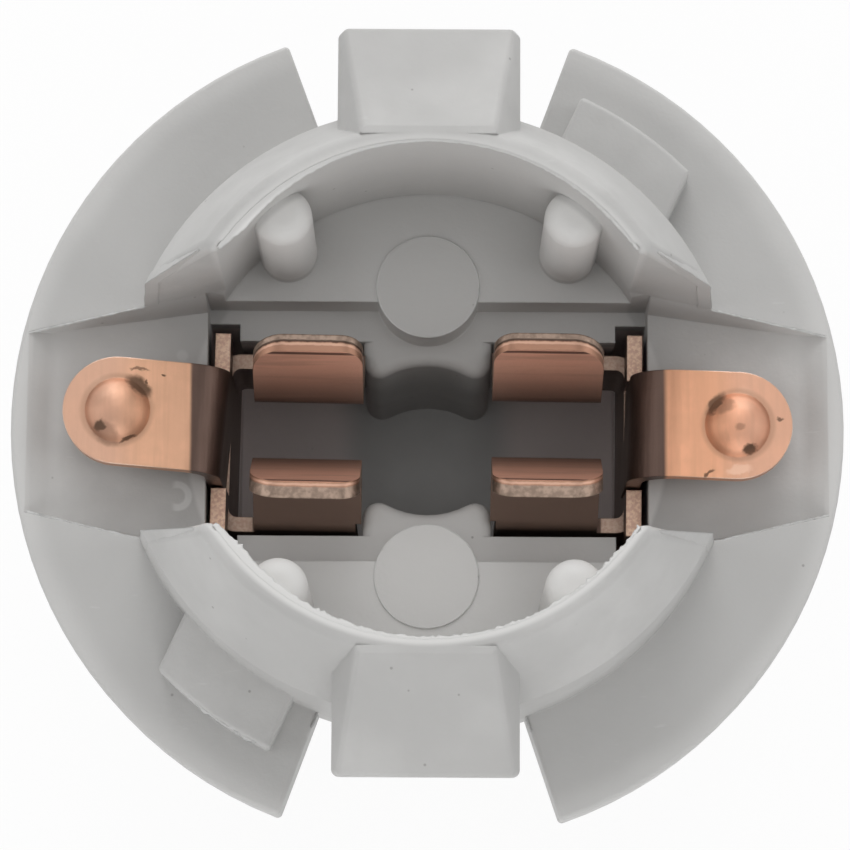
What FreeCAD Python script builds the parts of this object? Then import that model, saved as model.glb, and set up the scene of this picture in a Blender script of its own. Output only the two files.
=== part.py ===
import FreeCAD, Part
import math
import os

# A twist-lock holder for a wedge-base bulb: one moulded body and two stamped contacts.
# Lengths are in millimetres and angles in degrees. The bulb goes in along Z, and the contacts
# lie on the X axis. Levels are measured from the flange's front face. The finished pieces are
# lifted by the body's rear length, so the origin is the centre of the flat rear end.

# Bulb that the holder takes
bulb_base_width = 9.5
bulb_base_play = 0.25

# Flange
flange_width = 2.67
flange_thickness = 1.5
flange_edge_round = 0.12
notch_half_angle = 20.2
keyed_notch_half_angle = 18.6
notch_corner_round = 0.12

# Collar and cup
cup_diameter = 12.1
cup_depth = 1.05
cup_draft = 1.4
collar_wall = 1.55
collar_height = 5.03
collar_wall_height = 2.2
collar_wall_draft = 4.0
collar_rim_width = 0.18
collar_rim_round = 0.25
collar_end_round = 0.2

# Locking lugs
lug_width = 4.38
lug_reach = 1.38
lug_tip_height = 1.9
lug_tip_draft = 5.0
lug_shoulder_drop = 0.3
lug_shoulder_lean = 21.0
lug_edge_round = 0.18
panel_gap = 1.9

# Twist stops
stop_width = 1.35
stop_height = 0.9
stop_square_angle = 65.0
stop_slant_angle = 43.8
stop_slant_lean = 4.3
stop_edge_round = 0.12

# Trough across the cup and the two channels under the spring arms
trough_width = 6.56
trough_drop = 1.15
channel_inner_width = 6.84
channel_collar_width = 5.8
gap_inner_width = 6.46
gap_outer_width = 6.06
channel_rim_width = 4.44
channel_depth = 1.25
channel_lip_depth = 0.38
channel_lip_width = 0.55
channel_rim_margin = 0.4
channel_wall_draft = 10.0
channel_lip_round = 0.6

# Ejector pads and bulb pegs
pad_diameter = 2.58
pad_offset = 3.66
pad_proud = 0.05
peg_diameter = 1.42
peg_inset = 0.37
peg_angle = 52.0
peg_height = 4.53
peg_top_round = 0.5

# Pocket for the bulb's base
pocket_floor_depth = 8.5
pocket_floor_thickness = 1.4
guide_gap = 3.2
guide_round = 0.4
guide_valley = 0.31
guide_edge_round = 0.3

# Rear boss and finger grip
boss_inset = 0.75
boss_depth = 1.2
grip_end_wall = 1.05
grip_side_wall = 1.2
grip_corner_round = 1.4
grip_edge_round = 0.4
grip_rib_count = 5
grip_rib_width = 0.8
grip_rib_height = 0.35
grip_rib_pitch = 1.9
grip_rib_end_gap = 1.0

# Contacts
sheet = 0.38
contact_fit = 0.14
contact_side_play = 0.24
contact_end_gap = 0.3
contact_bend_radius = 0.4
wing_spread = 4.2
wing_play = 0.2
wing_inset = 0.15
bridge_length = 0.68
bridge_level = 2.9
wing_height = 2.8
relief_slit = 0.2
foot_height = 1.3
foot_width = 5.0
barb_height = 0.6
barb_reach = 0.28
ear_width = 1.16
ear_height = 1.35

# Fingers
finger_length = 2.71
pinch_gap = 1.43
pinch_radius = 0.5
pinch_depth = 0.95
finger_slant = 48.0
finger_flare = 24.7
lip_height = 1.15
lip_outer_round = 0.8
lip_inner_round = 0.55

# Spring arms
arm_width = 2.66
arm_slit = 0.06
tab_reach = 8.94
tab_level = 0.3
tab_rise = 2.0
dimple_diameter = 1.6
dimple_height = 0.45

# How each contact sits: its turn in its slot, and its arm's bend radius and sideways lean
left_turn = -0.9
left_arm_bend = 0.7
left_arm_lean = -3.8
right_turn = -0.6
right_arm_bend = 1.1
right_arm_lean = -1.8

# Worked from the sizes above
cup_radius = cup_diameter / 2
collar_radius = cup_radius + collar_wall
flange_radius = collar_radius + flange_width
rear_length = pocket_floor_depth + pocket_floor_thickness
trough_level = cup_depth + trough_drop
plate_inner = bulb_base_width / 2 + bulb_base_play
plate_outer = plate_inner + sheet
slot_outer = plate_outer + contact_fit
slot_inner = plate_inner - contact_side_play
finger_outer = plate_inner - bridge_length
finger_inner = finger_outer - finger_length
wing_inner = finger_inner + wing_inset
wing_outer = wing_spread / 2 + sheet / 2
pocket_half_width = wing_outer + wing_play
slot_half_width = foot_width / 2 + barb_reach + contact_fit
foot_level = bridge_level + wing_height
foot_bottom = foot_level + relief_slit + foot_height
contact_slot_depth = foot_bottom + contact_end_gap
grip_length = 2 * (slot_outer + grip_end_wall)
grip_width = 2 * (slot_half_width + grip_side_wall)
guide_x = wing_inner - contact_fit - guide_round
rim_radius = cup_radius + collar_rim_width

# How far a joined form reaches into what carries it, and a cut past what it opens
root = 0.3
over = 1.0

# Lengths below this count as none when edges are picked
tiny = 1e-4


def vec(x, y, z=0.0):
    return FreeCAD.Vector(x, y, z)


def polar(radius, angle, z=0.0):
    return vec(radius * math.cos(math.radians(angle)), radius * math.sin(math.radians(angle)), z)


def outline_face(points):
    return Part.Face(Part.makePolygon(points + [points[0]]))


def arc(start, middle, end):
    return Part.Arc(start, middle, end).toShape()


def half_turn(shape):
    turned = shape.copy()
    turned.rotate(vec(0, 0), vec(0, 0, 1), 180)
    return turned


def pair(shape):
    return [shape, half_turn(shape)]


def box(x_range, y_range, z_range):
    spans = [high - low for low, high in (x_range, y_range, z_range)]
    return Part.makeBox(*spans, vec(x_range[0], y_range[0], z_range[0]))


def is_vertical(edge):
    return edge.BoundBox.ZLength > tiny and max(edge.BoundBox.XLength, edge.BoundBox.YLength) < tiny


def edges_at_level(shape, level):
    return [edge for edge in shape.Edges
            if all(abs(vertex.Z - level) < tiny for vertex in edge.Vertexes)]


def reach_of(vertex):
    return math.hypot(vertex.X, vertex.Y)


def bent_strip(path, radius, thickness):
    """Closed outline of a bent sheet along a path of (a, b) points, as a face in the XY plane."""
    points = [vec(*point) for point in path]
    runs = [(end - start).normalize() for start, end in zip(points, points[1:])]
    edges = []
    ends = []
    for half in (thickness / 2, -thickness / 2):
        last = points[0] + vec(-runs[0].y, runs[0].x) * half
        ends.append(last)
        for corner, before, after in zip(points[1:-1], runs, runs[1:]):
            turn = math.atan2(before.cross(after).z, before.dot(after))
            setback = radius * math.tan(abs(turn) / 2)
            hand = math.copysign(1, turn)
            enter = corner - before * setback
            centre = enter + vec(-before.y, before.x) * hand * radius
            outward = (corner - centre).normalize()
            first = enter + vec(-before.y, before.x) * half
            leave = corner + after * setback + vec(-after.y, after.x) * half
            edges.append(Part.makeLine(last, first))
            edges.append(arc(first, centre + outward * (radius - hand * half), leave))
            last = leave
        ends.append(points[-1] + vec(-runs[-1].y, runs[-1].x) * half)
        edges.append(Part.makeLine(last, ends[-1]))
    edges.append(Part.makeLine(ends[0], ends[2]))
    edges.append(Part.makeLine(ends[1], ends[3]))
    return Part.Face(Part.Wire(Part.__sortEdges__(edges)))


def stand_up(shape, along):
    """Turns a face drawn as (a, b) so that b points up, and a points along X or along Y."""
    shape.rotate(vec(0, 0), vec(1, 0, 0), 90)
    if along == "y":
        shape.rotate(vec(0, 0), vec(0, 0, 1), 90)
    return shape


def notch(far_half_angle):
    """Notch through the flange behind the lug on the +Y side."""
    low = -flange_thickness
    far = (flange_radius + over) / math.cos(math.radians(notch_half_angle))
    wedge = outline_face([
        vec(0, 0, low),
        polar(far, 90 - notch_half_angle, low),
        polar(far, 90 + far_half_angle, low),
    ]).extrude(vec(0, 0, flange_thickness))
    return wedge.cut(Part.makeCylinder(collar_radius, flange_thickness, vec(0, 0, low)))


def flange():
    """Flat disc with a rounded rim and two notches, one of them narrower to key the panel."""
    low = -flange_thickness
    disc = Part.makeCylinder(flange_radius, flange_thickness, vec(0, 0, low))
    disc = disc.makeFillet(flange_edge_round, edges_at_level(disc, 0) + edges_at_level(disc, low))
    disc = disc.cut([notch(notch_half_angle), half_turn(notch(keyed_notch_half_angle))])
    inside = flange_radius - flange_edge_round - tiny
    corners = [edge for edge in disc.Edges if edge.Length < flange_thickness
               and min(reach_of(vertex) for vertex in edge.Vertexes) > inside]
    return disc.makeFillet(notch_corner_round, corners)


def boss():
    """Solid round boss behind the flange, which closes the cup's floor."""
    height = boss_depth + flange_thickness
    return Part.makeCylinder(collar_radius - boss_inset, height, vec(0, 0, -height))


def cup_wall(level):
    """Radius of the cup's drafted wall at one level."""
    return cup_radius - (level + cup_depth) * math.tan(math.radians(cup_draft))


def collar_corner():
    """Distance along X at which a channel's edge meets the collar's outer wall."""
    return math.sqrt(collar_radius ** 2 - (channel_collar_width / 2) ** 2)


def gap_plan(level, inner_width, outer_width):
    """Closed outline of the gap between the collar's arcs at one level."""
    corner = collar_corner()
    slope = (outer_width - inner_width) / 2 / (corner - slot_inner)
    sides = [(x, inner_width / 2 + (x - slot_inner) * slope)
             for x in (cup_radius / 2, flange_radius)]
    points = [vec(x, y, level) for x, y in sides] + [vec(x, -y, level) for x, y in sides[::-1]]
    return Part.makePolygon(points + [points[0]])


def collar():
    """Two arcs in front of the flange: a drafted wall below, a cone up to the rim above."""
    slope = math.tan(math.radians(collar_wall_draft))
    ring = outline_face([
        vec(cup_wall(-root), 0, -root), vec(collar_radius + root * slope, 0, -root),
        vec(collar_radius - collar_wall_height * slope, 0, collar_wall_height),
        vec(rim_radius, 0, collar_height), vec(cup_wall(collar_height), 0, collar_height),
    ]).revolve(vec(0, 0), vec(0, 0, 1), 360)
    foot = gap_plan(-root, channel_inner_width, channel_collar_width)
    top = gap_plan(collar_height, gap_inner_width, gap_outer_width)
    arcs = ring.cut(pair(Part.makeLoft([foot, top], True, True)))
    ends = [edge for edge in arcs.Edges
            if edge.BoundBox.ZLength > tiny and edge.BoundBox.YLength < collar_wall
            and min(reach_of(vertex) for vertex in edge.Vertexes) > cup_radius + tiny]
    arcs = arcs.makeFillet(collar_end_round, ends)
    shoulder = [edge for edge in edges_at_level(arcs, collar_height)
                if min(reach_of(vertex) for vertex in edge.Vertexes) > cup_radius + tiny]
    return arcs.makeFillet(collar_rim_round, shoulder)


def lug():
    """Wedge-shaped lug: upright sides, leaning shoulders, and a top that slopes to the tip."""
    tip = collar_radius + lug_reach
    tip_top = panel_gap + lug_tip_height
    shoulder = tip_top - lug_shoulder_drop
    top = collar_height + over
    half = lug_width / 2
    half_top = half - (top - shoulder) * math.tan(math.radians(lug_shoulder_lean))
    start = cup_radius
    section = outline_face([
        vec(-half, start, panel_gap), vec(half, start, panel_gap), vec(half, start, shoulder),
        vec(half_top, start, top), vec(-half_top, start, top), vec(-half, start, shoulder),
    ])
    bar = section.extrude(vec(0, tip - start, 0))
    undercut = lug_tip_height * math.tan(math.radians(lug_tip_draft))
    side = outline_face([
        vec(-lug_width, start, panel_gap), vec(-lug_width, tip - undercut, panel_gap),
        vec(-lug_width, tip, tip_top), vec(-lug_width, rim_radius, collar_height),
        vec(-lug_width, start, collar_height),
    ])
    body = bar.common(side.extrude(vec(2 * lug_width, 0, 0)))
    at_tip = tip - undercut - tiny
    rounded = [edge for edge in body.Edges
               if edge.BoundBox.YMin > at_tip and edge.BoundBox.ZMax > panel_gap + tiny
               or edge.BoundBox.ZMax > tip_top and edge.BoundBox.YLength > lug_reach]
    return body.makeFillet(lug_edge_round, rounded)


def stop():
    inner = collar_radius - root
    outer = collar_radius + stop_width
    slant_inner = stop_slant_angle - stop_slant_lean * (outer - inner) / stop_width
    middle = (stop_square_angle + stop_slant_angle) / 2
    edges = [
        Part.makeLine(polar(inner, stop_square_angle), polar(outer, stop_square_angle)),
        arc(polar(outer, stop_square_angle), polar(outer, middle), polar(outer, stop_slant_angle)),
        Part.makeLine(polar(outer, stop_slant_angle), polar(inner, slant_inner)),
        arc(polar(inner, slant_inner), polar(inner, middle), polar(inner, stop_square_angle)),
    ]
    pad = Part.Face(Part.Wire(edges)).extrude(vec(0, 0, stop_height + root))
    pad.translate(vec(0, 0, -root))
    rounded = [edge for edge in pad.Edges
               if edge.BoundBox.ZMax > stop_height - tiny
               and max(reach_of(vertex) for vertex in edge.Vertexes) > collar_radius]
    return pad.makeFillet(stop_edge_round, rounded)


def grip():
    """Finger grip behind the flange, with upright ribs on its two broad sides."""
    top = root - flange_thickness
    block = box((-grip_length / 2, grip_length / 2), (-grip_width / 2, grip_width / 2),
                (-rear_length, top))
    block = block.makeFillet(grip_corner_round, [e for e in block.Edges if is_vertical(e)])
    block = block.makeFillet(grip_edge_round, edges_at_level(block, -rear_length))
    foot = -rear_length + grip_rib_end_gap
    rib = Part.makeCylinder(grip_rib_width / 2, top - foot, vec(0, 0, foot))
    rib = rib.makeFillet(grip_rib_width / 4, edges_at_level(rib, foot))
    ribs = []
    for index in range(grip_rib_count):
        x = (index - (grip_rib_count - 1) / 2) * grip_rib_pitch
        copy = rib.copy()
        copy.translate(vec(x, grip_width / 2 + grip_rib_height - grip_rib_width / 2, 0))
        ribs += pair(copy)
    return block.fuse(ribs)


def channel_plan(level):
    """Closed outline of a channel at one level."""
    spread = level * math.tan(math.radians(channel_wall_draft))
    corner = collar_corner()
    rim = math.sqrt(flange_radius ** 2 - (channel_rim_width / 2) ** 2)
    far = flange_radius + over
    narrowing = (channel_collar_width - channel_rim_width) / 2 / (rim - corner)
    stations = [
        (slot_inner, channel_inner_width / 2 + spread),
        (corner, channel_collar_width / 2 + spread),
        (far, channel_rim_width / 2 - (far - rim) * narrowing + spread),
    ]
    points = [vec(x, y, level) for x, y in stations]
    points += [vec(x, -y, level) for x, y in stations[::-1]]
    return Part.makePolygon(points + [points[0]])


def channel():
    """Recess under a spring arm: a ramp up from the slot, then a short steep lip at the rim."""
    floor_end = flange_radius - channel_rim_margin
    lip = floor_end - channel_lip_width
    wide = trough_width
    side = outline_face([
        vec(slot_inner, -wide, -channel_depth), vec(slot_outer, -wide, -channel_depth),
        vec(lip, -wide, -channel_lip_depth), vec(floor_end, -wide, 0),
        vec(slot_inner, -wide, 0),
    ]).extrude(vec(0, 2 * wide, 0))
    crease = [edge for edge in edges_at_level(side, -channel_lip_depth)
              if edge.BoundBox.YLength > wide]
    side = side.makeFillet(channel_lip_round, crease)
    ramp = Part.makeLoft([channel_plan(-channel_depth), channel_plan(0)], True, True)
    return ramp.common(side)


def pocket():
    """Pocket for the bulb's base: two guides face each other between the finger wells."""
    outer = plate_inner
    inner = guide_x + guide_round
    reach = guide_gap / 2
    guide_y = reach + guide_round
    sink = guide_round - guide_valley
    valley_radius = (guide_x ** 2 + sink ** 2 - guide_round ** 2) / (2 * (guide_round - sink))
    valley_y = reach + guide_valley - valley_radius
    share = valley_radius / (valley_radius + guide_round)
    meet = vec(guide_x * share, valley_y + (guide_y - valley_y) * share)
    edge_angle = math.degrees(math.atan2(valley_y - guide_y, -guide_x))
    middle = polar(guide_round, edge_angle / 2)
    crest = vec(guide_x, guide_y) + middle
    flipped = [vec(-p.x, p.y) for p in (crest, meet)]
    well = pocket_half_width
    edges = [
        Part.makeLine(vec(outer, 0), vec(outer, well)),
        Part.makeLine(vec(outer, well), vec(inner, well)),
        Part.makeLine(vec(inner, well), vec(inner, guide_y)),
        arc(vec(inner, guide_y), crest, meet),
        arc(meet, vec(0, reach + guide_valley), flipped[1]),
        arc(flipped[1], flipped[0], vec(-inner, guide_y)),
        Part.makeLine(vec(-inner, guide_y), vec(-inner, well)),
        Part.makeLine(vec(-inner, well), vec(-outer, well)),
        Part.makeLine(vec(-outer, well), vec(-outer, 0)),
    ]
    upper = Part.Wire(edges)
    lower = upper.copy()
    lower.rotate(vec(0, 0), vec(1, 0, 0), 180)
    face = Part.Face(Part.Wire(Part.__sortEdges__(upper.Edges + lower.Edges)))
    hole = face.extrude(vec(0, 0, pocket_floor_depth - trough_level))
    hole.translate(vec(0, 0, -pocket_floor_depth))
    return hole


def contact_slot():
    return box((slot_inner, slot_outer), (-slot_half_width, slot_half_width),
               (-contact_slot_depth, over))


def round_guides(body):
    """Rounds the edge where the guides and the valleys between them meet the trough's floor."""
    limit = guide_x + guide_round
    rolled = [edge for edge in edges_at_level(body, -trough_level)
              if edge.BoundBox.XMax < limit + tiny and edge.BoundBox.XMin > -limit - tiny
              and edge.BoundBox.YLength > tiny
              and max(edge.BoundBox.YMax, -edge.BoundBox.YMin) < pocket_half_width - tiny]
    return body.makeFillet(guide_edge_round, rolled)


def pads():
    height = trough_drop + pad_proud
    pad = Part.makeCylinder(pad_diameter / 2, height, vec(0, pad_offset, -trough_level))
    return pair(pad)


def pegs():
    post = Part.makeCylinder(peg_diameter / 2, peg_height + root, vec(0, 0, -cup_depth - root))
    top = peg_height - cup_depth
    post = post.makeFillet(peg_top_round, edges_at_level(post, top))
    posts = []
    for angle in (peg_angle, 180 - peg_angle):
        copy = post.copy()
        copy.translate(polar(cup_radius - peg_inset, angle))
        posts += pair(copy)
    return posts


def socket_body():
    body = flange().fuse([boss(), grip(), collar()] + pair(lug()))
    cup_top = collar_height + over
    cup = Part.makeCone(cup_radius, cup_wall(cup_top), cup_depth + cup_top, vec(0, 0, -cup_depth))
    body = body.cut(cup)
    body = body.fuse(pair(stop()))
    trough = box((-slot_outer, slot_outer), (-trough_width / 2, trough_width / 2),
                 (-trough_level, 0))
    body = body.cut([trough, pocket()] + pair(channel()) + pair(contact_slot()))
    body = round_guides(body)
    return body.fuse(pads() + pegs()).removeSplitter()


def plate_and_wings():
    """U-shaped part of a contact, open towards the bulb, with the flat foot below it."""
    wing = wing_spread / 2
    plate = plate_inner + sheet / 2
    section = bent_strip([(wing_inner, -wing), (plate, -wing), (plate, wing),
                          (wing_inner, wing)], contact_bend_radius, sheet)
    channel_part = section.extrude(vec(0, 0, wing_height))
    channel_part.translate(vec(0, 0, -foot_level))
    half = foot_width / 2
    neck = half - wing_outer + wing - contact_bend_radius
    barb_top = barb_height - foot_bottom
    foot_top = -foot_level - relief_slit
    right_side = [
        (half, -foot_bottom), (half + barb_reach, barb_top), (half, barb_top),
        (half, foot_top), (neck, foot_top), (neck, sheet - foot_level),
    ]
    outline = right_side + [(-y, z) for y, z in reversed(right_side)]
    foot = outline_face([vec(plate_inner, y, z) for y, z in outline])
    return channel_part.fuse(foot.extrude(vec(sheet, 0, 0)))


def ears():
    inner = arm_width / 2 + arm_slit
    tall = box((plate_inner, plate_outer), (inner, inner + ear_width),
               (-bridge_level - sheet, -bridge_level + ear_height))
    side = wing_spread / 2 - contact_bend_radius
    slit = box((plate_inner - over, plate_outer + over), (side, side + foot_width),
               (-bridge_level - over, -bridge_level + relief_slit))
    ear = tall.cut(slit)
    return [ear, ear.mirror(vec(0, 0), vec(0, 1, 0))]


def finger():
    """S-shaped finger above one wing: in to the pinch, then out to the flared lip."""
    wing = wing_spread / 2
    slant = math.radians(finger_slant)
    flare = math.radians(finger_flare)
    reach = pinch_radius / math.cos((slant + flare) / 2)
    tilt = (slant - flare) / 2
    centre_y = pinch_gap / 2 + sheet / 2 + pinch_radius
    pinch = (centre_y - reach * math.cos(tilt), -pinch_depth - reach * math.sin(tilt))
    knee_drop = (wing - pinch[0]) / math.tan(slant)
    end = lip_height + sheet
    lip = (pinch[0] + (end - pinch[1]) * math.tan(flare), end)
    path = [(wing, -bridge_level - sheet), (wing, pinch[1] - knee_drop), pinch, lip]
    strip = stand_up(bent_strip(path, pinch_radius, sheet), "y")
    strip.translate(vec(finger_inner, 0, 0))
    strip = strip.extrude(vec(finger_length, 0, 0))
    low = -bridge_level - over
    blank = box((finger_inner, finger_outer), (0, wing_spread), (low, lip_height))
    corners = {finger_inner: lip_inner_round, finger_outer: lip_outer_round}
    for x, size in corners.items():
        corner = [edge for edge in edges_at_level(blank, lip_height)
                  if edge.BoundBox.YLength > wing and abs(edge.BoundBox.XMax - x) < tiny]
        blank = blank.makeFillet(size, corner)
    guide_clearance = box((finger_inner, wing_inner), (0, wing_spread),
                          (low, contact_fit - trough_level))
    return strip.common(blank.cut(guide_clearance))


def spring_arm(bend_radius, lean):
    """Arm that rises from the plate, bends outward and ends in a round dimpled tab."""
    plate = plate_inner + sheet / 2
    reach = tab_reach - plate
    rise = math.tan(math.radians(tab_rise))
    path = [(plate, -bridge_level - sheet), (plate, tab_level),
            (tab_reach + over, tab_level + (reach + over) * rise)]
    strip = stand_up(bent_strip(path, bend_radius, sheet), "x")
    strip.translate(vec(0, arm_width / 2, 0))
    strip = strip.extrude(vec(0, -arm_width, 0))
    round_centre = tab_reach - arm_width / 2
    low = -bridge_level - over
    tall = bridge_level + 3 * over
    plan = box((plate_inner - over, round_centre), (-arm_width, arm_width), (low, low + tall))
    plan = plan.fuse(Part.makeCylinder(arm_width / 2, tall, vec(round_centre, 0, low)))
    arm = strip.common(plan)
    top = tab_level + (round_centre - plate) * rise + sheet / 2
    dome_radius = ((dimple_diameter / 2) ** 2 + dimple_height ** 2) / (2 * dimple_height)
    dome_centre = vec(round_centre, 0, top + dimple_height - dome_radius)
    dome = Part.makeSphere(dome_radius, dome_centre)
    dome = dome.common(box((round_centre - over, round_centre + over), (-over, over),
                           (top - sheet / 2, top + over)))
    dent = Part.makeSphere(dome_radius - sheet, dome_centre)
    arm = arm.fuse(dome).cut(dent)
    arm.rotate(vec(plate, 0), vec(0, 0, 1), lean)
    return arm


def contact(arm_bend, arm_lean, turn):
    fingers = [finger(), finger().mirror(vec(0, 0), vec(0, 1, 0))]
    shape = plate_and_wings().fuse(ears() + fingers + [spring_arm(arm_bend, arm_lean)])
    shape = shape.removeSplitter()
    shape.rotate(vec(plate_inner + sheet / 2, 0), vec(0, 0, 1), turn)
    return shape


def main():
    right = contact(right_arm_bend, right_arm_lean, right_turn)
    left = half_turn(contact(left_arm_bend, left_arm_lean, left_turn))
    pieces = {"socket_body": socket_body(), "contact_right": right, "contact_left": left}
    os.makedirs("parts", exist_ok=True)
    for name, shape in pieces.items():
        shape.translate(vec(0, 0, rear_length))
        shape.exportStep(os.path.join("parts", name + ".step"))
        print(name, len(shape.Solids), "solid,", round(shape.Volume, 1), "mm3", shape.isValid())


main()
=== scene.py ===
import math
import random

import bpy
from mathutils import Matrix, Vector


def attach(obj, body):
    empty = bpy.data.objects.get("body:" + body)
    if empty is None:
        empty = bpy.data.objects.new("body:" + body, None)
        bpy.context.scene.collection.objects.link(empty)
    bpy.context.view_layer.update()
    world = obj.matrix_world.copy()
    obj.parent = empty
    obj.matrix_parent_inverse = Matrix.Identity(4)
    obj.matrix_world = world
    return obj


# Lengths of the object in millimetres, which at() turns into the scene's metres.
# A level is a height above the flange's front face.
MM = 0.001
FLANGE_TOP = 9.9
FLANGE_RADIUS = 10.27
COLLAR_HEIGHT = 5.03
COLLAR_RADIUS = 7.6
SHOULDER_LEVEL = 2.2
SHOULDER_RADIUS = 7.45
RIM_INNER_RADIUS = 5.9
RIM_OUTER_RADIUS = 6.23
CUP_RADIUS = 6.05
TROUGH_LEVEL = -2.2
PEG_FOOT_LEVEL = -0.9
PEG_REACH = 5.85
PAD_OFFSET = 3.66
PAD_RADIUS = 1.29
PAD_LEVEL = -1.0
STOP_EDGE_RADIUS = 8.93
STOP_EDGE_LEVEL = 0.83
NOTCH_ANGLES = {"left": 249.8, "right": 288.6}

# Half widths of the gap between the collar's arcs at its foot, the shoulder and the rim, and of
# the channels under the spring arms at the collar and at the flange's rim
GAP_FOOT_HALF = 2.913
GAP_SHOULDER_HALF = 2.998
GAP_TOP_HALF = 3.185
CHANNEL_COLLAR_HALF = 2.9
CHANNEL_RIM_HALF = 2.22
CHANNEL_RIM_ROUND = 0.12

# Pocket for the bulb's base: the middle and half size of its inside, with X given for one end
POCKET_MIDDLE = {"x": 4.1, "y": 0.0, "z": 4.2}
POCKET_HALF = {"x": 1.5, "y": 3.1, "z": 2.9}

# Contacts
PLATE_MIDDLE = 5.19
EAR_LEVEL = -1.55
EAR_INNER = 1.33
BRIDGE_LEVEL = -2.9
LIP_LEVEL = 1.15
LIP_INNER = 1.61
LIP_FLARE = math.radians(24.7)
DOME_RADIUS = 0.8

# Flash: how far it reaches into the body, how thin its edge is, and the fins' heights
FLASH_ROOT = 0.03
FLASH_EDGE = 0.012
RIM_FLASH_DROP = 0.001
CHANNEL_FLASH_HEIGHTS = {(-1, 1): 0.06, (-1, -1): 0.035, (1, 1): 0.03, (1, -1): 0.035}
CHANNEL_FLASH_LEVEL = -0.005
NOTCH_FLASH_HEIGHT = 0.05
STOP_FLASH_HEIGHT = 0.10
STOP_FLASH_ANGLES = {"long": (231.5, 238.0), "short": (239.0, 243.0)}
CORNER_FLASH_REACH = 0.34
CORNER_FLASH_TOP = 4.6
CORNER_FLASH_SINK = 0.2

# Corners of the burr's section round an ejector pad, as (outward, upward)
BURR_PROFILE = [(-0.035, -0.01), (-0.005, 0.02), (0.012, 0.0), (0.02, -0.07)]

# The camera looks down on the flange's front face, tipped a little towards -Y
CAMERA_DISTANCE = 85.73
CAMERA_TILT = math.radians(10.0)
CAMERA_ROLL = math.radians(0.31)
CAMERA_AIM = (-0.056, -0.036)
CAMERA_LENS = 147.4

# Studio, in metres and watts
LAMP_SIZE = 0.30
LAMPS = {
    "back low": ((0.0, 0.36, 0.16), 0.47),
    "back": ((0.0, 0.28, 0.25), 0.30),
    "front": ((0.0, -0.36, 0.16), 0.54),
    "left": ((-0.34, 0.0, 0.22), 0.26),
    "right": ((0.34, 0.0, 0.22), 0.27),
    "top": ((0.0, 0.0, 0.50), 0.24),
}
WORLD_STRENGTH = 0.32
WHITE = (1.0, 1.0, 1.0)
FLOOR_SIZE = 4.0
FLOOR_COLOR = (0.95, 0.95, 0.95)
FLOOR_GLOW = 0.92

# Plastic: the body, the thin flash that lets more light through, the painted highlights on their edges,
# and their marks
PLASTIC = (0.54, 0.535, 0.525)
EDGE_HIGHLIGHT_PLASTIC = (0.68, 0.68, 0.67)
THIN_PLASTIC = (0.62, 0.62, 0.61)
EDGE_HIGHLIGHT_THIN_PLASTIC = (0.72, 0.72, 0.71)
# Painted light on the ends of the pocket, which lie in shade
POCKET_END_PAINTED_LIGHT = (0.76, 0.68, 0.66)
DUST = (0.14, 0.13, 0.12)
SCUFF = (0.74, 0.74, 0.73)
RING_MARK_CENTRE = (-6.22, -1.67)
RING_MARK_RADIUS = 0.29
FAINT_SPOT_CENTRE = (-6.14, 1.89, -0.9)

# Copper: a paler tab tip, painted shade on the bend, the ears, a ring of painted shade round the dome,
# painted highlights on the edges, smudges and painted dark reflections, and painted glints
TAB_TIP = (0.68, 0.44, 0.345)
BEND_SHADE_DARK = (0.115, 0.076, 0.062)
BEND_SHADE_PALE = (0.20, 0.135, 0.112)
EAR_DARK = (0.84, 0.58, 0.46)
EAR_LIGHT = (1.0, 0.77, 0.61)
DOME_RING_SHADE = (0.36, 0.21, 0.14)
RIM_HIGHLIGHT = (0.93, 0.78, 0.68)
SMUDGE_AND_DARK_REFLECTION = (0.10, 0.065, 0.045)
GLINT = (0.92, 0.60, 0.44)

# Copper of the fingers: inner faces with painted shade deep down, outer faces as a darker painted-shade
# copy, a painted shadow line under the roll, and the bands of the cut edge with a painted highlight line
INNER_DEEP_SHADE = (0.18, 0.11, 0.085)
INNER_TOP = (0.80, 0.43, 0.31)
INNER_WORN = (0.34, 0.20, 0.15)
OUTER_DEEP_SHADE = (0.24, 0.16, 0.125)
OUTER_TOP_SHADE = (0.43, 0.29, 0.22)
ROLL_SHADOW_LINE = (0.05, 0.028, 0.022)
TORN_DARK = (0.33, 0.245, 0.195)
TORN_LIGHT = (0.50, 0.37, 0.295)
SHEARED = (0.52, 0.29, 0.20)
SHEARED_HIGHLIGHT = (0.92, 0.60, 0.45)
SEAM = (0.06, 0.035, 0.028)

# How each contact sits and is marked. Each smudge, painted dark reflection or painted glint has its
# centre, half size, angle and strength.
LEFT_COPPER = {
    "tone": (0.80, 0.465, 0.305),
    "pivot": -PLATE_MIDDLE,
    "turn": -0.9,
    "bend_end": 5.8,
    "dome": (-7.60, 0.20),
    # The patches on and round the dome are painted dark reflections, the ones further out are smudges
    "smudges_and_reflections": [
        ((-7.06, 0.80, 0.9), (0.42, 0.20), -40.0, 0.85),
        ((-8.00, -0.26, 0.9), (0.17, 0.15), 0.0, 0.8),
        ((-7.85, -0.40, 0.8), (0.40, 0.25), -30.0, 0.35),
        ((-7.31, -0.51, 0.8), (0.24, 0.05), 25.0, 0.9),
        ((-6.89, 0.90, 0.7), (0.05, 0.05), 0.0, 0.8),
        ((-6.48, 1.07, 0.7), (0.05, 0.04), 0.0, 0.8),
        ((-7.05, 1.22, 0.7), (0.25, 0.04), -8.0, 0.6),
    ],
    "glints": [
        ((-7.95, 0.75, 1.0), (0.40, 0.32), 20.0, 0.35),
    ],
}
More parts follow.
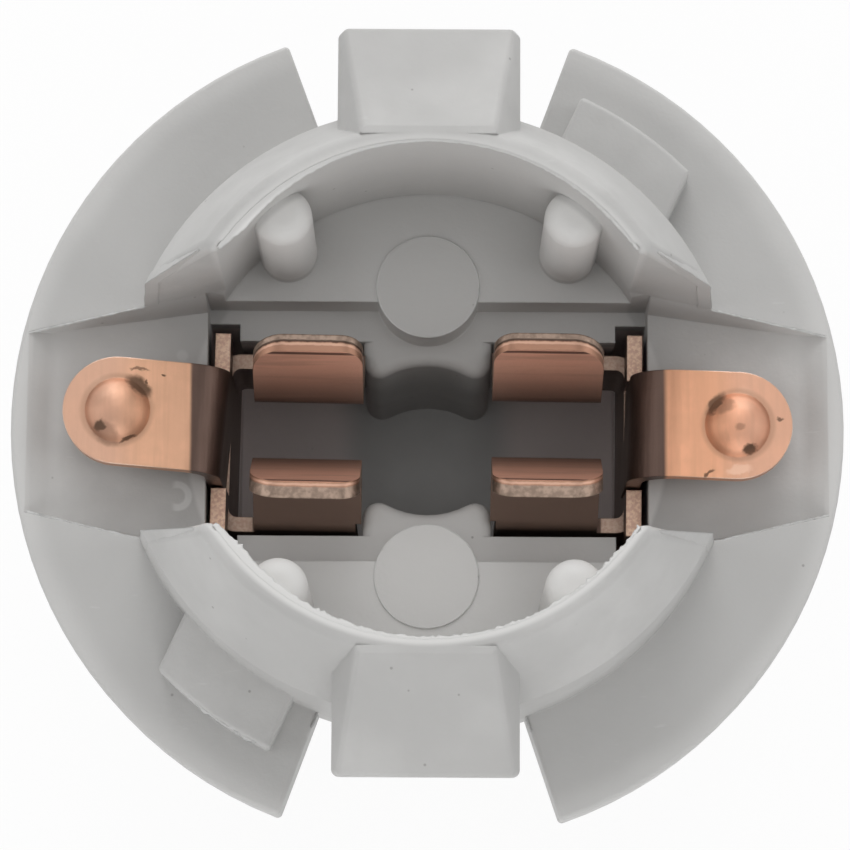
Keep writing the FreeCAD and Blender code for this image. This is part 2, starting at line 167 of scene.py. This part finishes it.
RIGHT_COPPER = {
    "tone": (0.90, 0.475, 0.295),
    "pivot": PLATE_MIDDLE,
    "turn": -0.6,
    "bend_end": 5.85,
    "dome": (7.61, -0.10),
    # The patches on and round the dome are painted dark reflections, the ones further out are smudges
    "smudges_and_reflections": [
        ((7.05, 0.42, 0.85), (0.36, 0.16), 52.0, 0.8),
        ((7.25, 0.35, 0.95), (0.28, 0.22), 30.0, 0.35),
        ((7.87, -0.72, 0.8), (0.20, 0.13), 25.0, 0.85),
        ((7.62, -0.22, 1.0), (0.14, 0.12), 0.0, 0.3),
        ((6.87, -1.28, 0.7), (0.16, 0.05), 35.0, 0.75),
        ((8.64, 0.05, 0.75), (0.06, 0.06), 0.0, 0.7),
    ],
    "glints": [
        ((7.63, -1.20, 0.75), (0.35, 0.12), 10.0, 0.8),
        ((7.75, 0.55, 1.0), (0.32, 0.36), 0.0, 0.35),
    ],
}


def at(x, y, level=0.0):
    """Point in metres from millimetres and a level."""
    return Vector((x, y, FLANGE_TOP + level)) * MM


def polar(radius, angle, level=0.0):
    turn = math.radians(angle)
    return at(radius * math.cos(turn), radius * math.sin(turn), level)


def add_camera():
    data = bpy.data.cameras.new("camera")
    data.sensor_width = 36.0
    data.lens = CAMERA_LENS
    data.clip_start = 0.001
    data.clip_end = 5.0
    camera = bpy.data.objects.new("camera", data)
    back = Vector((0, -math.sin(CAMERA_TILT), math.cos(CAMERA_TILT)))
    place = at(0, 0) + back * CAMERA_DISTANCE * MM
    look = (at(*CAMERA_AIM) - place).normalized()
    side = look.cross(Vector((0, math.cos(CAMERA_TILT), math.sin(CAMERA_TILT)))).normalized()
    up = side.cross(look)
    turn = Matrix((side, up, -look)).transposed() @ Matrix.Rotation(CAMERA_ROLL, 3, "Z")
    camera.matrix_world = Matrix.Translation(place) @ turn.to_4x4()
    bpy.context.scene.collection.objects.link(camera)
    bpy.context.scene.camera = camera


def add_lights():
    """Soft round lamps on all sides, each facing the flange's centre."""
    for name, (place, power) in LAMPS.items():
        data = bpy.data.lights.new(name, "AREA")
        data.shape = "DISK"
        data.size = LAMP_SIZE
        data.energy = power
        lamp = bpy.data.objects.new(name, data)
        lamp.location = place
        lamp.rotation_euler = (at(0, 0) - Vector(place)).to_track_quat("-Z", "Y").to_euler()
        bpy.context.scene.collection.objects.link(lamp)


def add_world():
    world = bpy.data.worlds.new("studio")
    bpy.context.scene.world = world
    world.use_nodes = True
    background = world.node_tree.nodes["Background"]
    background.inputs["Color"].default_value = opaque(WHITE)
    background.inputs["Strength"].default_value = WORLD_STRENGTH


def opaque(color):
    """Adds full alpha to a plain colour, and leaves a colour socket as it is."""
    return (*color, 1.0) if isinstance(color, tuple) else color


def shade(tone, factor):
    """Darker or lighter version of a plain colour."""
    return tuple(min(1.0, part * factor) for part in tone)


def add_node(tree, kind, inputs, **settings):
    """Adds a shader node, sets its options, and links or sets each input named."""
    node = tree.nodes.new(kind)
    for name, value in settings.items():
        setattr(node, name, value)
    for name, value in inputs.items():
        if isinstance(value, bpy.types.NodeSocket):
            tree.links.new(value, node.inputs[name])
        else:
            node.inputs[name].default_value = value
    return node


def calc(tree, operation, *values):
    return add_node(tree, "ShaderNodeMath", dict(enumerate(values)), operation=operation).outputs[0]


def product(tree, *values):
    result = values[0]
    for value in values[1:]:
        result = calc(tree, "MULTIPLY", result, value)
    return result


def strongest(tree, values):
    result = values[0]
    for value in values[1:]:
        result = calc(tree, "MAXIMUM", result, value)
    return result


def blend(tree, factor, first, second):
    """Colour that goes from the first to the second as the factor goes from 0 to 1."""
    inputs = {0: factor, 6: opaque(first), 7: opaque(second)}
    return add_node(tree, "ShaderNodeMix", inputs, data_type="RGBA").outputs[2]


def ramp(tree, value, low, high):
    """Soft step from 0 at low to 1 at high, which falls instead when low is the larger."""
    inputs = {"Value": value, "From Min": low, "From Max": high}
    node = add_node(tree, "ShaderNodeMapRange", inputs, interpolation_type="SMOOTHSTEP")
    return node.outputs["Result"]


def within(tree, value, middle, half, soft):
    """1 where the value is within half of the middle, and 0 beyond the soft border."""
    return ramp(tree, calc(tree, "ABSOLUTE", calc(tree, "SUBTRACT", value, middle)), half + soft, half)


def noise(tree, place, scale, detail=3.0, stretch=(1.0, 1.0, 1.0)):
    stretched = add_node(tree, "ShaderNodeVectorMath", {0: place, 1: stretch}, operation="MULTIPLY")
    inputs = {"Vector": stretched.outputs[0], "Scale": scale, "Detail": detail}
    return add_node(tree, "ShaderNodeTexNoise", inputs).outputs[0]


def specks(tree, place, scale, share, size):
    """Small round specks in a share of the cells of a random grid."""
    cells = add_node(tree, "ShaderNodeTexVoronoi", {"Vector": place, "Scale": scale})
    lot = add_node(tree, "ShaderNodeSeparateColor", {"Color": cells.outputs["Color"]}).outputs[0]
    chosen = ramp(tree, lot, 1 - share, 1 - share + 0.02)
    return product(tree, chosen, ramp(tree, cells.outputs["Distance"], size, size / 2))


def distance_from(tree, x, y, centre):
    """Distance in the flange's plane from an upright line through a point."""
    across = calc(tree, "SUBTRACT", x, centre[0])
    along = calc(tree, "SUBTRACT", y, centre[1])
    total = calc(tree, "ADD", calc(tree, "MULTIPLY", across, across),
                 calc(tree, "MULTIPLY", along, along))
    return calc(tree, "SQRT", total)


def patch(tree, place, centre, half_size, angle=0.0):
    """Oval patch with a soft border at a point given in millimetres and a level."""
    x, y, level = centre
    inputs = {
        "Vector": place,
        "Location": (x, y, FLANGE_TOP + level),
        "Rotation": (0.0, 0.0, math.radians(angle)),
        "Scale": (*half_size, 1.0),
    }
    local = add_node(tree, "ShaderNodeMapping", inputs, vector_type="TEXTURE").outputs[0]
    distance = add_node(tree, "ShaderNodeVectorMath", {0: local}, operation="LENGTH").outputs["Value"]
    return ramp(tree, distance, 1.2, 0.6)


def patches(tree, place, marks):
    """Strongest of several patches, each with its centre, half size, angle and strength."""
    return strongest(tree, [product(tree, patch(tree, place, centre, size, angle), strength)
                            for centre, size, angle, strength in marks])


def start_material(name):
    """New material with its node tree, its shader and the place on the object in millimetres."""
    material = bpy.data.materials.new(name)
    material.use_nodes = True
    tree = material.node_tree
    coordinates = add_node(tree, "ShaderNodeTexCoord", {})
    place = add_node(tree, "ShaderNodeVectorMath", {0: coordinates.outputs["Object"]},
                     operation="SCALE")
    place.inputs["Scale"].default_value = 1 / MM
    return material, tree, tree.nodes["Principled BSDF"], place.outputs[0]


def split(tree, vector):
    return add_node(tree, "ShaderNodeSeparateXYZ", {0: vector}).outputs


def surface_normal(tree):
    return add_node(tree, "ShaderNodeNewGeometry", {}).outputs["Normal"]


def rounded_edge(tree, radius):
    """Rounded normal of the edges, and a factor that is 1 on the edges themselves, where the materials put
    a painted highlight.
    """
    rounded = add_node(tree, "ShaderNodeBevel", {"Radius": radius * MM}, samples=4).outputs[0]
    match = add_node(tree, "ShaderNodeVectorMath", {0: rounded, 1: surface_normal(tree)},
                     operation="DOT_PRODUCT")
    return rounded, ramp(tree, match.outputs["Value"], 0.995, 0.85)


def add_relief(tree, shader, normal, layers):
    """Chains bump layers, each a height and its depth in millimetres, onto a normal."""
    for height, depth in layers:
        inputs = {"Height": height, "Distance": depth * MM, "Normal": normal}
        normal = add_node(tree, "ShaderNodeBump", inputs).outputs[0]
    tree.links.new(normal, shader.inputs["Normal"])


def add_cup_painted_light(tree, place, radius, tone, color):
    """Lightens the inside of the cup with painted light, more towards -Y and most of all on its pegs, and
    paints light on the ends inside the pocket.
    """
    x, y, z = split(tree, place)
    trough = FLANGE_TOP + TROUGH_LEVEL
    inside = product(tree, ramp(tree, radius, CUP_RADIUS + 0.05, CUP_RADIUS - 0.1),
                     ramp(tree, z, trough - 0.4, trough - 0.1))
    # Painted light inside the cup, stronger towards -Y and on the pegs
    inside_color = blend(tree, ramp(tree, y, 1.0, -2.5), shade(tone, 1.12), shade(tone, 1.34))
    peg_foot = FLANGE_TOP + PEG_FOOT_LEVEL
    peg = product(tree, ramp(tree, radius, PEG_REACH, PEG_REACH - 0.15),
                  ramp(tree, z, peg_foot, peg_foot + 0.3))
    inside_color = blend(tree, peg, inside_color, shade(tone, 1.4))
    color = blend(tree, inside, color, inside_color)
    # Painted light on the pocket's ends
    pocket_end = product(
        tree, within(tree, z, POCKET_MIDDLE["z"], POCKET_HALF["z"], 0.2),
        within(tree, y, POCKET_MIDDLE["y"], POCKET_HALF["y"], 0.2),
        within(tree, calc(tree, "ABSOLUTE", x), POCKET_MIDDLE["x"], POCKET_HALF["x"], 1.0))
    return blend(tree, pocket_end, color, POCKET_END_PAINTED_LIGHT)


def add_flange_light_and_shade(tree, z, radius, cloud, tone, color):
    """Flange's front face, a little darker in the middle and lighter towards its rim: painted shade near
    the collar and painted light at the rim.
    """
    face = product(tree, within(tree, z, FLANGE_TOP, 0.05, 0.05),
                   ramp(tree, radius, COLLAR_RADIUS - 0.1, COLLAR_RADIUS))
    rim = ramp(tree, calc(tree, "MULTIPLY_ADD", cloud, 0.6, radius), 9.8, 10.5)
    # Painted shade near the collar and painted light at the rim
    face_color = blend(tree, rim, shade(tone, 0.92), shade(tone, 1.12))
    return blend(tree, calc(tree, "MULTIPLY", face, 0.8), color, face_color)


def plastic_marks(tree, place, cloud):
    """Factor of the pale marks: a C-shaped mark, rings round the pads, a spot and scuffs."""
    x, y, z = split(tree, place)
    ring = distance_from(tree, x, y, RING_MARK_CENTRE)
    ring_mark = product(tree, within(tree, ring, RING_MARK_RADIUS, 0.05, 0.07),
                        within(tree, z, FLANGE_TOP - 0.7, 0.5, 0.2),
                        ramp(tree, x, RING_MARK_CENTRE[0] - 0.16, RING_MARK_CENTRE[0]))
    pad_rings = [within(tree, distance_from(tree, x, y, (0.0, side * PAD_OFFSET)), PAD_RADIUS,
                        0.02, 0.03) for side in (-1, 1)]
    pad_ring = product(tree, strongest(tree, pad_rings), ramp(tree, noise(tree, place, 0.5), 0.4, 0.6))
    spot = patch(tree, place, FAINT_SPOT_CENTRE, (0.16, 0.16))
    streaks = noise(tree, place, 1.2, 4.0, (1.0, 5.0, 1.0))
    scuff = product(tree, ramp(tree, streaks, 0.66, 0.78), ramp(tree, cloud, 0.45, 0.6))
    strengths = [(ring_mark, 0.85), (pad_ring, 0.5), (spot, 0.3), (scuff, 0.25)]
    return strongest(tree, [calc(tree, "MULTIPLY", mark, strength) for mark, strength in strengths])


def plastic_material(name, tone, edge_tone):
    """Matt grey moulding with faint clouds, a fine spark-eroded grain, specks and scuffs, painted
    highlights on its edges, painted light in the cup and painted light and shade on the flange.
    """
    material, tree, shader, place = start_material(name)
    x, y, z = split(tree, place)
    radius = distance_from(tree, x, y, (0.0, 0.0))
    cloud = noise(tree, place, 0.26)
    mottle = noise(tree, place, 1.4, 5.0)
    grain = noise(tree, place, 9.0, 4.0)
    normal, edge = rounded_edge(tree, 0.06)
    color = blend(tree, ramp(tree, cloud, 0.35, 0.65), shade(tone, 0.93), shade(tone, 1.05))
    mottled = calc(tree, "MULTIPLY", ramp(tree, mottle, 0.4, 0.75), 0.25)
    color = blend(tree, mottled, color, shade(tone, 0.88))
    color = add_cup_painted_light(tree, place, radius, tone, color)
    color = add_flange_light_and_shade(tree, z, radius, cloud, tone, color)
    # Painted highlight along the edges
    color = blend(tree, calc(tree, "MULTIPLY", edge, 0.45), color, edge_tone)
    dust = specks(tree, place, 2.6, 0.08, 0.12)
    color = blend(tree, calc(tree, "MULTIPLY", dust, 0.45), color, DUST)
    color = blend(tree, plastic_marks(tree, place, cloud), color, SCUFF)
    rough = calc(tree, "MULTIPLY_ADD", mottle, 0.16, 0.46)
    rough = calc(tree, "SUBTRACT", rough, calc(tree, "MULTIPLY", edge, 0.06))
    tree.links.new(color, shader.inputs["Base Color"])
    tree.links.new(rough, shader.inputs["Roughness"])
    shader.inputs["Specular IOR Level"].default_value = 0.4
    add_relief(tree, shader, normal, [(grain, 0.006), (mottle, 0.02)])
    return material


def finger_face_color(tree, z, outward, patchiness):
    """Faces of the fingers, darkened towards the foot by painted shade, the outer faces a darker
    painted-shade copy, with a painted shadow line at the lip's roll.
    """
    # Painted shade: darker towards the foot, deep in the pocket
    depth = ramp(tree, z, 8.9, 10.9)
    inner = blend(tree, depth, INNER_DEEP_SHADE, INNER_TOP)
    worn = calc(tree, "MULTIPLY", ramp(tree, patchiness, 0.45, 0.7), 0.35)
    inner = blend(tree, worn, inner, INNER_WORN)
    # The outer faces take a darker copy: painted shade
    outer = blend(tree, depth, OUTER_DEEP_SHADE, OUTER_TOP_SHADE)
    color = blend(tree, ramp(tree, outward, -0.2, 0.2), inner, outer)
    # Painted shadow line under the lip's roll, in patches
    roll_shadow = product(tree, within(tree, z, FLANGE_TOP + LIP_LEVEL - 0.09, 0.025, 0.035),
                   ramp(tree, patchiness, 0.2, 0.45))
    return blend(tree, calc(tree, "MULTIPLY", roll_shadow, 0.85), color, ROLL_SHADOW_LINE)


def finger_edge_color(tree, place, across, upper):
    """Cut edge of the lips: a sheared bright band inside and a torn band outside, with a painted highlight
    line on the sheared band.
    """
    torn = noise(tree, place, 7.0, 5.0)
    tan = blend(tree, ramp(tree, torn, 0.35, 0.65), TORN_DARK, TORN_LIGHT)
    border = calc(tree, "MULTIPLY_ADD", upper, 0.11, LIP_INNER + 0.13)
    border = calc(tree, "MULTIPLY_ADD", torn, 0.05, calc(tree, "SUBTRACT", border, 0.025))
    past = calc(tree, "SUBTRACT", across, border)
    color = blend(tree, ramp(tree, past, -0.02, 0.02), SHEARED, tan)
    seam = product(tree, within(tree, past, 0.015, 0.015, 0.025), upper)
    color = blend(tree, calc(tree, "MULTIPLY", seam, 0.8), color, SEAM)
    # Painted highlight line on the sheared band
    highlight_line = within(tree, past, -0.06, 0.015, 0.03)
    return blend(tree, calc(tree, "MULTIPLY", highlight_line, 0.6), color, SHEARED_HIGHLIGHT)


def add_finger_tone(tree, place, normal, copper, color):
    """Colours the fingers, and returns the colour and a factor that is 1 on their dull faces."""
    x, y, z = split(tree, place)
    face = split(tree, normal)
    from_pivot = calc(tree, "SUBTRACT", x, copper["pivot"])
    skew = calc(tree, "MULTIPLY", from_pivot, -math.tan(math.radians(copper["turn"])))
    straight = calc(tree, "ADD", y, skew)
    drop = calc(tree, "SUBTRACT", FLANGE_TOP + LIP_LEVEL, z)
    across = calc(tree, "MULTIPLY_ADD", drop, math.tan(LIP_FLARE), calc(tree, "ABSOLUTE", straight))
    outward = calc(tree, "MULTIPLY", face[1], calc(tree, "SIGN", y))
    patchiness = noise(tree, place, 5.0, 5.0, (0.08, 1.0, 1.0))
    cut = ramp(tree, calc(tree, "ABSOLUTE", face[1]), 0.5, 0.25)
    painted = blend(tree, cut, finger_face_color(tree, z, outward, patchiness),
                    finger_edge_color(tree, place, across, ramp(tree, y, -0.1, 0.1)))
    in_finger = product(tree, ramp(tree, calc(tree, "ABSOLUTE", x), PLATE_MIDDLE - 0.3,
                                   PLATE_MIDDLE - 0.5), ramp(tree, z, 7.2, 7.4))
    dull = product(tree, in_finger, calc(tree, "SUBTRACT", 1.0, cut))
    return blend(tree, in_finger, color, painted), dull


def add_arm_tone(tree, reach, cloud, grain, copper):
    """Rolled sheet with a drawn grain, paler at the tab's tip, and painted shade on the bend and the plate
    inside it.
    """
    tone = copper["tone"]
    color = blend(tree, ramp(tree, cloud, 0.35, 0.68), shade(tone, 0.92), shade(tone, 1.06))
    drawn = calc(tree, "MULTIPLY", ramp(tree, grain, 0.42, 0.66), 0.4)
    color = blend(tree, drawn, color, shade(tone, 0.82))
    tip = ramp(tree, reach, 6.9, 7.9)
    color = blend(tree, calc(tree, "MULTIPLY", tip, 0.45), color, TAB_TIP)
    # Painted shade on the bend and the plate inside it, down in the pocket
    bend_end = copper["bend_end"]
    bend = ramp(tree, calc(tree, "MULTIPLY_ADD", grain, 0.1, reach), bend_end + 0.1, bend_end - 0.02)
    return blend(tree, bend, color, blend(tree, grain, BEND_SHADE_DARK, BEND_SHADE_PALE))


def ear_factor(tree, y, z, reach):
    return product(tree, within(tree, z, FLANGE_TOP + EAR_LEVEL, 0.08, 0.04),
                   within(tree, reach, PLATE_MIDDLE, 0.3, 0.1),
                   ramp(tree, calc(tree, "ABSOLUTE", y), EAR_INNER, EAR_INNER + 0.03))


def bridge_factor(tree, z, reach, face_up):
    return product(tree, within(tree, z, FLANGE_TOP + BRIDGE_LEVEL, 0.06, 0.04),
                   ramp(tree, face_up, 0.7, 0.9), within(tree, reach, PLATE_MIDDLE - 0.4, 0.35, 0.05))


def torn_outline(tree, place):
    """Place shifted at random by a few hundredths of a millimetre, for ragged patches."""
    ragged = add_node(tree, "ShaderNodeTexNoise", {"Vector": place, "Scale": 5.0, "Detail": 4.0})
    nudge = add_node(tree, "ShaderNodeVectorMath", {0: ragged.outputs["Color"], 1: (0.5, 0.5, 0.5)},
                     operation="SUBTRACT")
    inputs = {0: nudge.outputs[0], 1: (0.22, 0.22, 0.22), 2: place}
    return add_node(tree, "ShaderNodeVectorMath", inputs, operation="MULTIPLY_ADD").outputs[0]


def add_dome_shade_and_rim_highlight(tree, reach, from_dome, edge, copper, color):
    """Painted shade in a ring round the dome's foot, and painted highlights on the tab's edges outside it.
    """
    # Painted shade in the crease round the dome's foot
    ring = within(tree, from_dome, DOME_RADIUS, 0.05, 0.12)
    color = blend(tree, calc(tree, "MULTIPLY", ring, 0.35), color, DOME_RING_SHADE)
    bend_end = copper["bend_end"]
    # Painted highlight on the tab's edges
    on_rim = product(tree, ramp(tree, reach, bend_end, bend_end + 0.3),
                     ramp(tree, from_dome, DOME_RADIUS + 0.15, DOME_RADIUS + 0.3))
    return blend(tree, product(tree, edge, on_rim, 0.8), color, RIM_HIGHLIGHT)


def copper_material(name, copper):
    """Copper alloy with a drawn grain, painted shade on the bends, torn cut edges, smudges, painted dark
    reflections and painted glints.
    """
    material, tree, shader, place = start_material(name)
    x, y, z = split(tree, place)
    reach = calc(tree, "ABSOLUTE", x)
    from_dome = distance_from(tree, x, y, copper["dome"])
    face = surface_normal(tree)
    normal, edge = rounded_edge(tree, 0.045)
    along_y = noise(tree, place, 6.0, 5.0, (1.0, 0.05, 1.0))
    along_x = noise(tree, place, 6.0, 5.0, (0.05, 1.0, 1.0))
    cloud = noise(tree, place, 1.1, 4.0)
    spotty = noise(tree, place, 11.0, 6.0)
    color = add_arm_tone(tree, reach, cloud, along_y, copper)
    color, dull = add_finger_tone(tree, place, face, copper, color)
    ear = ear_factor(tree, y, z, reach)
    bridge = bridge_factor(tree, z, reach, split(tree, face)[2])
    ear_color = blend(tree, ramp(tree, spotty, 0.38, 0.62), EAR_DARK, EAR_LIGHT)
    color = blend(tree, strongest(tree, [ear, calc(tree, "MULTIPLY", bridge, 0.5)]), color, ear_color)
    torn_place = torn_outline(tree, place)
    # Smudges, and painted dark reflections on and round the dome
    smudge_and_reflection = patches(tree, torn_place, copper["smudges_and_reflections"])
    color = blend(tree, smudge_and_reflection, color, SMUDGE_AND_DARK_REFLECTION)
    color = blend(tree, patches(tree, torn_place, copper["glints"]), color, GLINT)
    color = add_dome_shade_and_rim_highlight(tree, reach, from_dome, edge, copper, color)
    rough = calc(tree, "MULTIPLY_ADD", cloud, 0.14, 0.38)
    rough = calc(tree, "MULTIPLY_ADD", smudge_and_reflection, 0.25, calc(tree, "MULTIPLY_ADD", ear, 0.2, rough))
    on_dome = ramp(tree, from_dome, DOME_RADIUS + 0.1, DOME_RADIUS - 0.1)
    rough = calc(tree, "MULTIPLY_ADD", on_dome, 0.14, rough)
    tree.links.new(color, shader.inputs["Base Color"])
    tree.links.new(rough, shader.inputs["Roughness"])
    tree.links.new(calc(tree, "MULTIPLY_ADD", dull, -0.7, 1.0), shader.inputs["Metallic"])
    grain = blend(tree, ramp(tree, reach, PLATE_MIDDLE - 0.5, PLATE_MIDDLE), along_x, along_y)
    add_relief(tree, shader, normal, [(grain, 0.01), (cloud, 0.02), (spotty, 0.004)])
    return material


def tube(name, sections):
    """Closed piece through four-cornered sections given in metres."""
    vertices = [corner for section in sections for corner in section]
    faces = []
    for index in range(len(sections) - 1):
        near, far = 4 * index, 4 * index + 4
        faces += [(near + side, near + (side + 1) % 4, far + (side + 1) % 4, far + side)
                  for side in range(4)]
    last = 4 * len(sections) - 4
    faces += [(3, 2, 1, 0), (last, last + 1, last + 2, last + 3)]
    mesh = bpy.data.meshes.new(name)
    mesh.from_pydata(vertices, [], faces)
    mesh.update()
    piece = bpy.data.objects.new(name, mesh)
    bpy.context.scene.collection.objects.link(piece)
    return piece


def rim_flash(name, start, stop, start_reach, stop_reach, roughness):
    """Thin flash on the collar's inner rim, widest at the two ends of the arc."""
    steps = 160
    top = COLLAR_HEIGHT - RIM_FLASH_DROP
    sections = []
    for step in range(steps + 1):
        share = step / steps
        angle = start + (stop - start) * share
        reach = start_reach * (1 - share) ** 3 + stop_reach * share ** 3
        reach *= min(1.0, 12 * min(share, 1 - share) + 0.2)
        reach += roughness * random.random() * (0.4 + random.random())
        outer = RIM_INNER_RADIUS + FLASH_ROOT
        inner = RIM_INNER_RADIUS - reach - FLASH_EDGE
        sections.append([polar(outer, angle, top), polar(inner, angle, top - FLASH_EDGE),
                         polar(inner, angle, top - 2 * FLASH_EDGE),
                         polar(outer, angle, top - reach / 2 - 2 * FLASH_ROOT)])
    return tube(name, sections)


def edge_flash(name, start, end, out, up, height):
    """Ragged fin that stands on an edge between two points given in metres."""
    steps = max(8, int((end - start).length / (0.08 * MM)))
    fin_out = Vector(out).normalized() * MM
    fin_up = Vector(up).normalized() * MM
    sections = []
    for step in range(steps + 1):
        share = step / steps
        fade = min(1.0, 6 * min(share, 1 - share) + 0.15)
        tall = height * fade * (0.25 + 0.75 * random.random())
        wide = FLASH_ROOT * (0.6 + 0.8 * random.random())
        base = start.lerp(end, share)
        crest = base + fin_up * tall + fin_out * wide * random.random()
        sections.append([base - fin_up * FLASH_ROOT, base - fin_out * wide,
                         crest, base + fin_out * wide])
    return tube(name, sections)


def channel_flash():
    """Fin along each long edge of the two channels."""
    corner = math.sqrt(COLLAR_RADIUS ** 2 - CHANNEL_COLLAR_HALF ** 2)
    rim = math.sqrt(FLANGE_RADIUS ** 2 - CHANNEL_RIM_HALF ** 2) - CHANNEL_RIM_ROUND
    pieces = []
    for (across, along), height in CHANNEL_FLASH_HEIGHTS.items():
        sides = ("right" if across > 0 else "left", "upper" if along > 0 else "lower")
        start = at(across * corner, along * CHANNEL_COLLAR_HALF, CHANNEL_FLASH_LEVEL)
        end = at(across * rim, along * CHANNEL_RIM_HALF, CHANNEL_FLASH_LEVEL)
        pieces.append(edge_flash("flash_channel_%s_%s" % sides, start, end,
                                 (0, -along, 0), (0, 0, 1), height))
    return pieces


def notch_flash():
    """Fin on the two inner corners of the lower notch."""
    pieces = []
    for side, angle in NOTCH_ANGLES.items():
        start = polar(COLLAR_RADIUS - 0.1, angle)
        end = polar(COLLAR_RADIUS + 0.4, angle)
        inward = (1 if side == "left" else -1, 0, 0)
        pieces.append(edge_flash("flash_notch_" + side, start, end, inward, (0, 0, 1),
                                 NOTCH_FLASH_HEIGHT))
    return pieces


def stop_flash():
    """Two fins on the outer top edge of the lower twist stop."""
    pieces = []
    for name, (start_angle, end_angle) in STOP_FLASH_ANGLES.items():
        start = polar(STOP_EDGE_RADIUS, start_angle, STOP_EDGE_LEVEL)
        end = polar(STOP_EDGE_RADIUS, end_angle, STOP_EDGE_LEVEL)
        outward = polar(1.0, (start_angle + end_angle) / 2) - at(0, 0)
        pieces.append(edge_flash("flash_stop_" + name, start, end, (0, 0, 1), outward,
                                 STOP_FLASH_HEIGHT))
    return pieces


def pad_burr(name, side):
    """Thin raised burr round the edge of one ejector pad, where the pin met the mould."""
    steps = 96
    sections = []
    for step in range(steps):
        turn = 2 * math.pi * step / steps
        tall = 0.6 + 0.4 * math.sin(turn + 2.2) + 0.2 * random.random()
        section = []
        for outward, upward in BURR_PROFILE:
            radius = PAD_RADIUS + outward
            level = PAD_LEVEL + upward * (tall if upward > 0 else 1.0)
            section.append(at(radius * math.cos(turn), side * PAD_OFFSET + radius * math.sin(turn), level))
        sections.append(section)
    return tube(name, sections)


def wall_radius(level):
    """Radius of the collar's outside: a drafted wall below, a cone above."""
    if level < SHOULDER_LEVEL:
        return COLLAR_RADIUS - (COLLAR_RADIUS - SHOULDER_RADIUS) * level / SHOULDER_LEVEL
    share = (level - SHOULDER_LEVEL) / (COLLAR_HEIGHT - SHOULDER_LEVEL)
    return SHOULDER_RADIUS + (RIM_OUTER_RADIUS - SHOULDER_RADIUS) * share


def sharp_corner(level):
    """Where the gap's side would meet the collar's outside without the rounding."""
    if level < SHOULDER_LEVEL:
        half = GAP_FOOT_HALF + (GAP_SHOULDER_HALF - GAP_FOOT_HALF) * level / SHOULDER_LEVEL
    else:
        share = (level - SHOULDER_LEVEL) / (COLLAR_HEIGHT - SHOULDER_LEVEL)
        half = GAP_SHOULDER_HALF + (GAP_TOP_HALF - GAP_SHOULDER_HALF) * share
    return math.sqrt(wall_radius(level) ** 2 - half ** 2), half


def corner_flash(name, across, along):
    """Flash that fills the rounded upright corner of one collar end and dies out at the top."""
    steps = 40
    sections = []
    for step in range(steps + 1):
        level = CORNER_FLASH_TOP * step / steps
        x, y = sharp_corner(level)
        sunk = CORNER_FLASH_SINK * max(0.0, level - SHOULDER_LEVEL) / (CORNER_FLASH_TOP - SHOULDER_LEVEL)
        x += 0.025 * random.random() - 0.8 * sunk
        y += 0.004 + 0.6 * sunk
        wall = Vector((-y, x)).normalized() * CORNER_FLASH_REACH
        corners = [(x, y), (x - CORNER_FLASH_REACH, y + 0.03),
                   (x - CORNER_FLASH_REACH + wall.x / 2, y + wall.y),
                   (x + wall.x - 0.02, y + wall.y)]
        sections.append([at(across * corner[0], along * corner[1], level) for corner in corners])
    return tube(name, sections)


def add_flash(plastic, thin):
    """Flash and burrs left by the mould on the collar, channels, notch, stop and pads."""
    rims = [
        rim_flash("flash_rim_upper", 33.6, 146.4, 0.08, 0.26, 0.015),
        rim_flash("flash_rim_lower", 213.6, 326.4, 0.22, 0.04, 0.06),
    ]
    fins = channel_flash() + notch_flash() + stop_flash()
    fins += [pad_burr("burr_pad_upper", 1), pad_burr("burr_pad_lower", -1)]
    corners = [corner_flash("flash_corner_%s_%s" % (side, end), across, along)
               for side, across in (("left", -1), ("right", 1))
               for end, along in (("upper", 1), ("lower", -1))]
    for piece in rims + fins + corners:
        piece.data.materials.append(thin if piece in fins else plastic)
        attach(piece, "root")


def add_floor():
    """White floor that the camera and the metal see as a white ground with a faint shadow."""
    bpy.ops.mesh.primitive_plane_add(size=FLOOR_SIZE, location=(0, 0, 0))
    floor = bpy.context.active_object
    floor.name = "floor"
    material = bpy.data.materials.new("floor")
    material.use_nodes = True
    tree = material.node_tree
    shader = tree.nodes["Principled BSDF"]
    shader.inputs["Base Color"].default_value = opaque(FLOOR_COLOR)
    shader.inputs["Roughness"].default_value = 0.9
    glow = add_node(tree, "ShaderNodeEmission", {"Strength": 1.0}).outputs[0]
    path = add_node(tree, "ShaderNodeLightPath", {}).outputs
    seen = strongest(tree, [path["Is Camera Ray"], path["Is Glossy Ray"], path["Is Transmission Ray"]])
    share = calc(tree, "MULTIPLY", seen, FLOOR_GLOW)
    mix = add_node(tree, "ShaderNodeMixShader", {0: share, 1: shader.outputs[0], 2: glow})
    tree.links.new(mix.outputs[0], tree.nodes["Material Output"].inputs["Surface"])
    floor.data.materials.append(material)


def assign(node, material):
    node.data.materials.clear()
    node.data.materials.append(material)


def dress(nodes):
    plastic = plastic_material("grey plastic", PLASTIC, EDGE_HIGHLIGHT_PLASTIC)
    thin = plastic_material("thin plastic", THIN_PLASTIC, EDGE_HIGHLIGHT_THIN_PLASTIC)
    assign(nodes["socket_body"], plastic)
    assign(nodes["contact_left"], copper_material("copper left", LEFT_COPPER))
    assign(nodes["contact_right"], copper_material("copper right", RIGHT_COPPER))
    add_flash(plastic, thin)


random.seed(5)
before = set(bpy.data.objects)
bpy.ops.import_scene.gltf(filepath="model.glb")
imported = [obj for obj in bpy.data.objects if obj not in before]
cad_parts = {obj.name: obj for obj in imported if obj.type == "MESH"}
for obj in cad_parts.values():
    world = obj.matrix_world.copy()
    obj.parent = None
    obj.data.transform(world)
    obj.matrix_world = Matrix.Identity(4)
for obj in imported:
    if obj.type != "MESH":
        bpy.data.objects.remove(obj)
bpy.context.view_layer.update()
add_camera()
add_lights()
add_world()
add_floor()
dress(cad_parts)
bpy.context.scene.view_settings.view_transform = "Standard"
